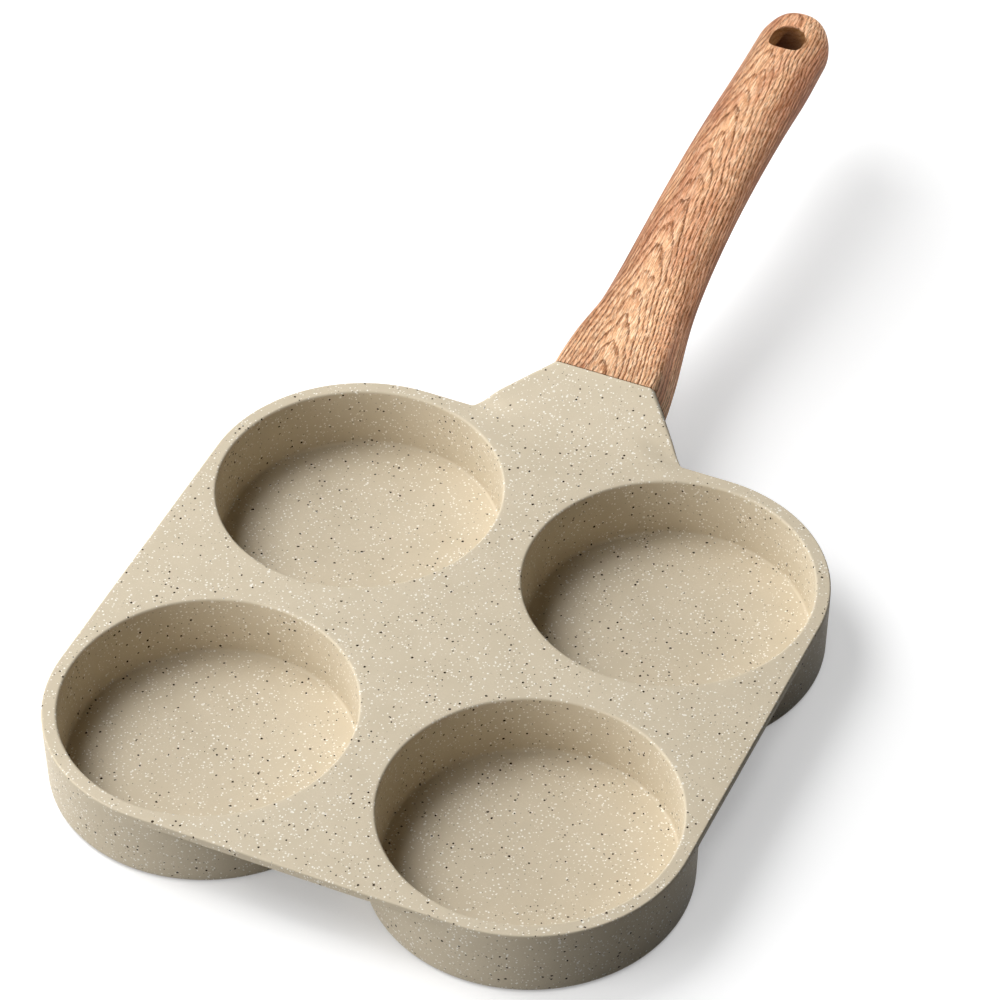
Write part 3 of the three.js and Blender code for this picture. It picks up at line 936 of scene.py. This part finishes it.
# satin coat: a cloudy ground with pale, brown and dark specks, which gather here and there
def speckledCoat():
    material, tree, shader = newMaterial("speckledCoat", Specular_IOR_Level=coat["gloss"])
    place = millimetres(tree)
    wander = vectorSum(tree, "SUBTRACT", noise(tree, place, *coat["wander"], "Color"), (0.5, 0.5, 0.5))
    ragged = vectorSum(tree, "MULTIPLY_ADD", wander, coat["ragged"], place)
    shifted, moved = (vectorSum(tree, "ADD", ragged, shift) for shift in coat["shifts"])
    gather = between(tree, noise(tree, place, *coat["gather"]), *coat["crowdRange"])
    crowd = timesPlus(tree, gather, *coat["crowding"])
    fine = specks(tree, ragged, crowd, *coat["paleFine"])
    large = specks(tree, shifted, crowd, *coat["paleLarge"])
    dark = specks(tree, moved, crowd, *coat["darkSpecks"])
    brown = specks(tree, shifted, crowd, *coat["brownSpecks"])
    cloud = between(tree, noise(tree, place, *coat["clouds"]), *coat["cloudRange"])
    grit = noise(tree, place, *coat["grit"])
    toned = times(tree, between(tree, grit, *coat["gritRange"]), coat["gritShare"])
    colour = mixColour(tree, cloud, coat["ground"], coat["cloud"])
    colour = mixColour(tree, toned, colour, coat["cloud"])
    colour = mixColour(tree, times(tree, brown, coat["softShare"]), colour, coat["brown"])
    colour = mixColour(tree, times(tree, large, coat["softShare"]), colour, coat["pale"])
    colour = mixColour(tree, fine, colour, coat["pale"])
    colour = mixColour(tree, dark, colour, coat["dark"])
    spots = calculate(tree, "MAXIMUM", fine, dark)
    rough = roughened(tree, grit, coat["roughness"], coat["roughSpread"])
    rough = timesPlus(tree, spots, coat["speckRough"], rough)
    height = timesPlus(tree, spots, coat["speckHeight"], noise(tree, place, *coat["peel"]))
    dress(tree, shader, colour, rough, height, coat["relief"])
    return material


base = {
    "faceHeight": 0.02,  # faces up to here are bare
    "colour": (0.56, 0.56, 0.57, 1),
    "worn": (0.40, 0.40, 0.41, 1),
    "wornRange": (0.1, 0.45),
    "ringPitch": 0.55,
    "ringHeight": 0.4,
    "lines": (3.0, 4.0),  # noise across the rings: cells per mm, and layers
    "clouds": (0.12, 4.0),
    "roughness": 0.345,
    "roughSpread": 0.25,
    "relief": (0.35, 0.1),
}


# bare base of a cup, turned on a lathe: fine rings about its middle
def turnedBase():
    material, tree, shader = newMaterial("turnedBase", Metallic=1.0)
    place = millimetres(tree)
    split = addNode(tree, "ShaderNodeSeparateXYZ", {"Vector": place})
    fromMiddle = minus(tree, split.outputs[1], deckY)
    across = minus(tree, calculate(tree, "ABSOLUTE", split.outputs[0]), cupOffset)
    along = minus(tree, calculate(tree, "ABSOLUTE", fromMiddle), cupOffset)
    radius = calculate(tree, "SQRT", timesPlus(tree, across, across, times(tree, along, along)))
    ring = calculate(tree, "SINE", times(tree, radius, 2 * math.pi / base["ringPitch"]))
    scale, detail = base["lines"]
    inputs = {"W": radius, "Scale": scale, "Detail": detail}
    lines = addNode(tree, "ShaderNodeTexNoise", inputs, noise_dimensions="1D").outputs[0]
    share = times(tree, lines, noise(tree, place, *base["clouds"]))
    colour = mixColour(tree, between(tree, share, *base["wornRange"]), base["worn"], base["colour"])
    rough = roughened(tree, lines, base["roughness"], base["roughSpread"])
    dress(tree, shader, colour, rough, timesPlus(tree, ring, base["ringHeight"], lines), base["relief"])
    return material


grain = {
    "light": (0.93, 0.560, 0.325, 1),
    "mid": (0.64, 0.305, 0.148, 1),
    # pale streaks, partly grain flecks and partly painted highlights of the raised grain
    "fleckAndHighlight": (1.0, 0.690, 0.450, 1),
    "blush": (0.70, 0.53, 0.50, 1),  # red tint, in patches, and down the sides as painted shade
    "shade": (0.42, 0.33, 0.26, 1),  # brown tint of painted shade on the left and round below, and in stripes that are partly grain and partly painted shade on the sides
    "line": (0.125, 0.039, 0.010, 1),
    "pore": (0.13, 0.042, 0.012, 1),
    "bore": (0.20, 0.085, 0.024, 1),  # bare moulding inside the hang hole
    "roughness": 0.5,
    "roughSpread": 0.16,
    "gloss": 0.12,  # specular level
    "relief": (0.5, 0.3),
    "archPitch": 9.0,  # between the tips of neighbouring arches by the joint, in mm
    "archGrowth": 0.00006,  # and how quickly they spread towards the end
    "linePitch": 0.95,  # and between the lines at the sides
    "tipRound": 8.0,
    "archSide": -2.2,  # the arches stand beside the handle's middle line
    "crestSide": 1.5,  # and so does the strip along the top that is lighter and less red, which is painted light
    "filmTop": 10.0,  # height over the middle line from which the film wraps down the sides
    "sway": 6.0,  # how far the arches wander sideways
    "shiver": 1.4,  # and along the handle, in arches
    # a dark line starts at this share of its arch, or sooner where it runs along the sides, and is full
    # at the other share
    "lineStart": 0.64,
    "lineSooner": 0.28,
    "lineFull": 0.90,
    "lineTips": (0.35, 0.65),  # strength that the lines gain towards the sides, and have on the tips
    "lineLuck": (0.6, 0.5),  # strength by chance, and of every line
    "lineStitch": (0.65, 0.35),  # strength that comes and goes along a line, and that stays
    "lineMottle": 0.8,
    "lineHeight": -0.8,
    "poreCrowd": (0.6, 0.4),  # pores in the dark lines only, and everywhere
    "poreShare": 0.9,
    "poreHeight": -0.6,
    "ripeTone": 0.8,  # darkening through each arch and by fibres, less of it on the crest as painted light, and by mottling
    "fibreTone": 0.7,
    # lighter on the crest: painted light along the top
    "crestTone": (-0.15, 1.0),
    "mottleTone": 1.6,
    "fibreHeight": 0.4,
    "endBlush": 0.0011,  # per mm towards the end
    # less red tint on the crest: painted light along the top
    "crestBlush": (-0.25, 0.8),
    # red, darker tint down the sides: painted shade
    "flankShade": 0.7,
    # painted shade below the middle line and on the left flank
    "lowShade": 0.8,
    "leftShade": 0.36,
    # stripes, partly grain and partly painted shade, stronger on the sides
    "stripeShade": (0.4, 0.25),  # on the sides only, and everywhere
    "boreFrom": 0.9,  # below the mouth of the hang hole
    "boreShare": 0.85,
    # noises: density across, along and up the handle, layers, and how strong the finer layers are
    "noises": {
        "sway": ((0.012, 0.028, 0.012), 2.0, 0.5),
        "shiver": ((0.34, 0.075, 0.34), 3.0, 0.5),
        "fibre": ((2.6, 0.11, 2.6), 3.0, 0.65),
        "dash": ((3.0, 0.38, 3.0), 1.0, 0.5),
        "streak": ((2.7, 0.24, 3.1), 1.0, 0.5),
        "stitch": ((1.9, 0.95, 1.9), 1.0, 0.5),
        "patch": ((0.13, 0.024, 0.13), 3.0, 0.5),
        "mottle": ((3.2, 1.5, 3.2), 2.0, 0.5),
        "stripe": ((0.75, 0.03, 0.75), 2.0, 0.5),
    },
    # where each starts and where it is full: in its noise, through an arch, or in mm
    "ranges": {
        "fibre": (0.42, 0.64),
        "dash": (0.515, 0.585),
        "streak": (0.51, 0.61),
        "stitch": (0.38, 0.58),
        "patch": (0.45, 0.63),
        "stripe": (0.45, 0.6),
        "lineEnd": (1.0, 0.94),
        "ripe": (0.15, 1.0),
        # where the painted light along the top lies
        "crest": (10.0, 3.0),
        "grip": (0.0, 38.0),
        # where the painted shade down the sides lies
        "flank": (7.0, 13.0),
        # places of the painted shade on the left flank and below the middle line
        "left": (0.0, -9.0),
        "below": (6.0, -2.5),
        "bore": (46.0, 40.0),  # square mm
        "boreMouth": (0.3, -0.3),
    },
}


# wood film: lines that run along the sides and close in rounded arches on top, each arch the same curve
# a little further along. The line number is the distance from the arches' middle over one pitch, plus
# the length along the handle over the other. Some lines are stronger than others, and fibres and pores
# break them up.
def woodGrain():
    material, tree, shader = newMaterial("woodGrain", Specular_IOR_Level=grain["gloss"])
    place = addNode(tree, "ShaderNodeAttribute", attribute_name="grainPlace").outputs["Vector"]
    split = addNode(tree, "ShaderNodeSeparateXYZ", {"Vector": place})
    side, along, up = split.outputs[0], split.outputs[1], split.outputs[2]

    def noiseOf(name):
        stretch, detail, roughness = grain["noises"][name]
        scaled = vectorSum(tree, "MULTIPLY", place, stretch)
        inputs = {"Vector": scaled, "Scale": 1.0, "Detail": detail, "Roughness": roughness}
        return addNode(tree, "ShaderNodeTexNoise", inputs).outputs["Fac"]

    def share(name, value):
        return between(tree, value, *grain["ranges"][name])

    def sizeOf(value):
        return calculate(tree, "ABSOLUTE", value)

    # arches, with noises that are 0 on average
    sway, shiver, mottle = (minus(tree, noiseOf(name), 0.5) for name in ("sway", "shiver", "mottle"))
    across = timesPlus(tree, sway, grain["sway"], minus(tree, side, grain["archSide"]))
    drop = minus(tree, up, grain["filmTop"])
    squares = timesPlus(tree, drop, drop, grain["tipRound"] ** 2)
    reach = calculate(tree, "SQRT", timesPlus(tree, across, across, squares))
    lean = calculate(tree, "DIVIDE", sizeOf(across), reach)
    lines = calculate(tree, "DIVIDE", reach, grain["linePitch"])
    perLength = timesPlus(tree, along, -grain["archGrowth"], 1 / grain["archPitch"])
    turns = timesPlus(tree, along, perLength, lines)
    turns = timesPlus(tree, shiver, grain["shiver"], turns)
    phase = calculate(tree, "FRACT", turns)
    number = {"W": calculate(tree, "FLOOR", turns)}
    luck = addNode(tree, "ShaderNodeTexWhiteNoise", number, noise_dimensions="1D").outputs["Value"]

    # dark lines and pores
    start = timesPlus(tree, lean, -grain["lineSooner"], grain["lineStart"])
    late = times(tree, between(tree, phase, start, grain["lineFull"]), share("lineEnd", phase))
    late = times(tree, late, timesPlus(tree, lean, *grain["lineTips"]))
    strength = times(tree, late, timesPlus(tree, luck, *grain["lineLuck"]))
    broken = timesPlus(tree, share("stitch", noiseOf("stitch")), *grain["lineStitch"])
    broken = timesPlus(tree, mottle, grain["lineMottle"], broken)
    strength = times(tree, strength, broken)
    crowd = timesPlus(tree, late, *grain["poreCrowd"])
    pore = times(tree, share("dash", noiseOf("dash")), crowd)

    # wood between them
    fibre = noiseOf("fibre")
    # the crest, a lighter and less red strip along the top, is painted light
    crest = share("crest", sizeOf(minus(tree, side, grain["crestSide"])))
    ripe = times(tree, share("ripe", phase), grain["ripeTone"])
    tone = timesPlus(tree, share("fibre", fibre), grain["fibreTone"], ripe)
    tone = times(tree, timesPlus(tree, crest, *grain["crestTone"]), tone)
    tone = timesPlus(tree, mottle, grain["mottleTone"], tone)
    colour = mixColour(tree, tone, grain["light"], grain["mid"])
    # pale streaks: partly grain flecks, partly painted highlights
    colour = mixColour(tree, share("streak", noiseOf("streak")), colour, grain["fleckAndHighlight"])

    # tints: red patches, a lighter and less red crest that is painted light, and painted shade down the
    # sides, on the left and below, which fades towards the joint
    grip = share("grip", along)
    flank = times(tree, share("flank", sizeOf(side)), grip)
    blushAndSideShade = timesPlus(tree, along, grain["endBlush"], share("patch", noiseOf("patch")))
    blushAndSideShade = times(tree, timesPlus(tree, crest, *grain["crestBlush"]), blushAndSideShade)
    # the red, darker tint down the sides is painted shade
    blushAndSideShade = calculate(tree, "MAXIMUM", blushAndSideShade, times(tree, flank, grain["flankShade"]))
    colour = mixColour(tree, blushAndSideShade, colour, grain["blush"], "MULTIPLY")
    # painted shade below the middle line and on the left flank, fading towards the joint
    below = times(tree, share("below", up), grain["lowShade"])
    turned = times(tree, timesPlus(tree, share("left", side), grain["leftShade"], below), grip)
    # stripes of grain, stronger on the sides as painted shade
    edge = timesPlus(tree, flank, *grain["stripeShade"])
    turned = timesPlus(tree, edge, share("stripe", noiseOf("stripe")), turned)
    colour = mixColour(tree, turned, colour, grain["shade"], "MULTIPLY")
    colour = mixColour(tree, strength, colour, grain["line"])
    colour = mixColour(tree, times(tree, pore, grain["poreShare"]), colour, grain["pore"])

    # inside of the hang hole
    fromHole = minus(tree, along, handle["length"] - hangHole["fromEnd"])
    holeSquares = timesPlus(tree, side, side, times(tree, fromHole, fromHole))
    above = minus(tree, sizeOf(up), handle["gripHeight"] / 2 - grain["boreFrom"])
    inBore = times(tree, share("bore", holeSquares), share("boreMouth", above))
    colour = mixColour(tree, times(tree, inBore, grain["boreShare"]), colour, grain["bore"])

    rough = roughened(tree, fibre, grain["roughness"], grain["roughSpread"])
    height = timesPlus(tree, strength, grain["lineHeight"], times(tree, fibre, grain["fibreHeight"]))
    height = timesPlus(tree, pore, grain["poreHeight"], height)
    dress(tree, shader, colour, rough, height, grain["relief"])
    return material


plating = {
    # bright colour, dull colour and roughness
    "brightZinc": ((0.62, 0.62, 0.63, 1), (0.50, 0.51, 0.53, 1), 0.32),
    "dullZinc": ((0.36, 0.37, 0.39, 1), (0.27, 0.28, 0.30, 1), 0.42),
    "washerZinc": ((0.55, 0.56, 0.57, 1), (0.44, 0.45, 0.47, 1), 0.36),
    "roughSpread": 0.2,
    "clouds": (0.9, 4.0),  # noise: cells per mm, and layers
    "cloudRange": (0.35, 0.7),
    "scratches": (9.0, 0.6, 9.0),  # cells per mm across, along and up
    "scratchDetail": 2.0,
    "relief": (0.1, 0.05),
}


# plated steel: cloudy plating with fine scratches
def platedSteel(name):
    material, tree, shader = newMaterial(name, Metallic=1.0)
    bright, dull, roughness = plating[name]
    place = millimetres(tree)
    cloud = between(tree, noise(tree, place, *plating["clouds"]), *plating["cloudRange"])
    stretched = vectorSum(tree, "MULTIPLY", place, plating["scratches"])
    scratch = noise(tree, stretched, 1.0, plating["scratchDetail"])
    rough = roughened(tree, scratch, roughness, plating["roughSpread"])
    dress(tree, shader, mixColour(tree, cloud, bright, dull), rough, scratch, plating["relief"])
    return material


# Pieces
def finishPiece(piece, node, slot, *materials):
    piece.data.materials.clear()
    for material in materials:
        piece.data.materials.append(material)
    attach(piece, "root")
    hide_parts(node)


panBody = makePan()
threadRadius = screw["radius"] + joint["gap"]
threadBottom = tangBottom - meshing["overshoot"]
cutAway(panBody, [screwBore("threadHole", threadRadius, threadBottom, screwTip + joint["gap"])])
finishPiece(panBody, "pan_casting", "coated_casting", speckledCoat(), turnedBase())
faceMiddles = np.empty(len(panBody.data.polygons) * 3)
panBody.data.polygons.foreach_get("center", faceMiddles)
onBase = faceMiddles.reshape(-1, 3)[:, 2] < base["faceHeight"] * mm
panBody.data.polygons.foreach_set("material_index", onBase.astype(np.int32))
print("pan casting made,", int(onBase.sum()), "faces on the bare bases")

handleGrip = makeHandle()
finishPiece(handleGrip, "handle", "handle_moulding", woodGrain())
print("handle made")

screwBody = makeScrew()
finishPiece(screwBody, "handle_screw", "screw_steel", platedSteel("brightZinc"))
springGrid = ringGrid(washers["bore"], washers["springOuter"], washers["springThickness"],
                      washers["springEdge"], washers["springSlit"], washers["springLift"])
springRing = makeWasher("springRing", springTop, washers["springThickness"], springGrid)
finishPiece(springRing, "spring_washer", "spring_steel", platedSteel("dullZinc"))
flatGrid = ringGrid(washers["bore"], washers["flatOuter"], washers["flatThickness"], washers["flatEdge"])
flatRing = makeWasher("flatRing", flatTop, washers["flatThickness"], flatGrid)
finishPiece(flatRing, "flat_washer", "washer_steel", platedSteel("washerZinc"))
print("fasteners made")


# Stage, in metres and degrees
stage = {
    "floorHalf": 6.0,
    "floorShade": 0.65,  # how strongly the lit floor and its shadow show
    "floorLift": 0.55,  # plain white added to that where the floor is seen
    "floorBounce": 0.25,  # how much light the floor throws back on the pan
    "nookDepth": 0.45,  # share of the plain white taken away in the nooks under the deck, as a painted contact shadow
    "nookReach": 0.04,
    "nookRange": (0.56, 0.30),  # openness at which the white starts to go, and at which it has gone
    "nookSamples": 8,
    "lampAway": 1.6,  # from the pan's middle to each lamp
    "lampWidth": 0.98,
    # direction to each lamp, round from +X and up from the floor, and its strength
    "lamps": {
        "leftHigh": (178, 55, 2.15),
        "leftLow": (157, 30, 1.0),
        "frontHigh": (225, 55, 0.81),
        "frontLow": (229, 12, 1.50),
        "front": (275, 12, 0.25),
    },
}
# narrow strip light along the handle's right, which passes over the floor beside it
strip = {
    "turn": 4,
    "rise": 34,
    "away": 0.3,
    "aim": (0.0, 0.126, 0.035),
    "size": (0.19, 0.05),
    "spread": 8.0,
    "power": 0.0185,
}


# 1 where the camera sees a surface itself, or in a reflection or through glass, and 0 where it only
# gives light
def whereSeen(tree):
    rays = addNode(tree, "ShaderNodeLightPath").outputs
    mirrored = calculate(tree, "MAXIMUM", rays["Is Glossy Ray"], rays["Is Transmission Ray"])
    return calculate(tree, "MAXIMUM", rays["Is Camera Ray"], mirrored)


# matt white floor: where it is seen it is lifted towards white, with its shadow kept, and less so in the
# nooks under the deck, which is a painted contact shadow
def makeFloor():
    half = stage["floorHalf"]
    mesh = bpy.data.meshes.new("floor")
    corners = [(-half, -half, 0), (half, -half, 0), (half, half, 0), (-half, half, 0)]
    mesh.from_pydata(corners, [], [(0, 1, 2, 3)])
    floor = addObject(mesh)
    material, tree, shader = newMaterial("whiteFloor")
    tree.nodes.remove(shader)
    seen = whereSeen(tree)
    bounce = stage["floorBounce"]
    tint = timesPlus(tree, seen, stage["floorShade"] - bounce, bounce)
    colour = addNode(tree, "ShaderNodeCombineColor", {0: tint, 1: tint, 2: tint}).outputs[0]
    matt = addNode(tree, "ShaderNodeBsdfDiffuse", {"Color": colour}).outputs[0]
    # painted contact shadow: the white lift is taken away where the pan hems the floor in
    reach, samples = {"Distance": stage["nookReach"]}, stage["nookSamples"]
    nook = addNode(tree, "ShaderNodeAmbientOcclusion", reach, samples=samples).outputs["AO"]
    dark = between(tree, nook, *stage["nookRange"])
    lost = times(tree, dark, stage["nookDepth"] * stage["floorLift"])
    lift = times(tree, seen, minus(tree, stage["floorLift"], lost))
    white = addNode(tree, "ShaderNodeEmission", {"Strength": lift}).outputs[0]
    both = addNode(tree, "ShaderNodeAddShader", {0: matt, 1: white}).outputs[0]
    tree.links.new(both, tree.nodes["Material Output"].inputs["Surface"])
    mesh.materials.append(material)


# area lamp that faces a place from the given direction, and that the camera doesn't see
def addLamp(name, turn, rise, away, aim):
    shown = bpy.data.objects.new(name, bpy.data.lights.new(name, "AREA"))
    turn, rise = math.radians(turn), math.radians(rise)
    towards = (math.cos(turn) * math.cos(rise), math.sin(turn) * math.cos(rise), math.sin(rise))
    shown.location = np.array(aim) + away * np.array(towards)
    shown.rotation_euler = (math.pi / 2 - rise, 0, turn + math.pi / 2)
    shown.visible_camera = False
    bpy.context.scene.collection.objects.link(shown)
    return shown


# soft lamps on the left and in front, as a wide window would light it, and the strip light, which shows
# in no reflection, before a white background
def makeLight():
    for name, (turn, rise, strength) in stage["lamps"].items():
        lamp = addLamp(name, turn, rise, stage["lampAway"], (0, 0, 0)).data
        lamp.shape = "DISK"
        lamp.size = stage["lampWidth"]
        lamp.energy = strength * math.pi * stage["lampAway"] ** 2
    fill = addLamp("fill", strip["turn"], strip["rise"], strip["away"], strip["aim"])
    fill.visible_glossy = False
    fill.data.shape = "RECTANGLE"
    fill.data.size, fill.data.size_y = strip["size"]
    fill.data.spread = math.radians(strip["spread"])
    fill.data.energy = strip["power"]
    world = bpy.data.worlds.new("studio")
    world.use_nodes = True
    bpy.context.scene.world = world
    tree = world.node_tree
    shader = tree.nodes["Background"]
    shader.inputs["Color"].default_value = (1, 1, 1, 1)
    tree.links.new(whereSeen(tree), shader.inputs["Strength"])


view = {
    "place": (0.397864, -0.838113, 0.935401),  # from under the middle of the deck
    "turn": (47.2473, 0.1966, 24.1763),
    "lens": 165.26,
    "sensor": 36.0,
}


def makeCamera():
    camera = bpy.data.cameras.new("view")
    camera.lens = view["lens"]
    camera.sensor_width = view["sensor"]
    shown = bpy.data.objects.new("view", camera)
    shown.location = np.array(view["place"]) + (0, deckY * mm, 0)
    shown.rotation_euler = [math.radians(angle) for angle in view["turn"]]
    bpy.context.scene.collection.objects.link(shown)
    bpy.context.scene.camera = shown


makeFloor()
makeLight()
makeCamera()
bpy.context.scene.view_settings.view_transform = "Standard"
print("stage made")
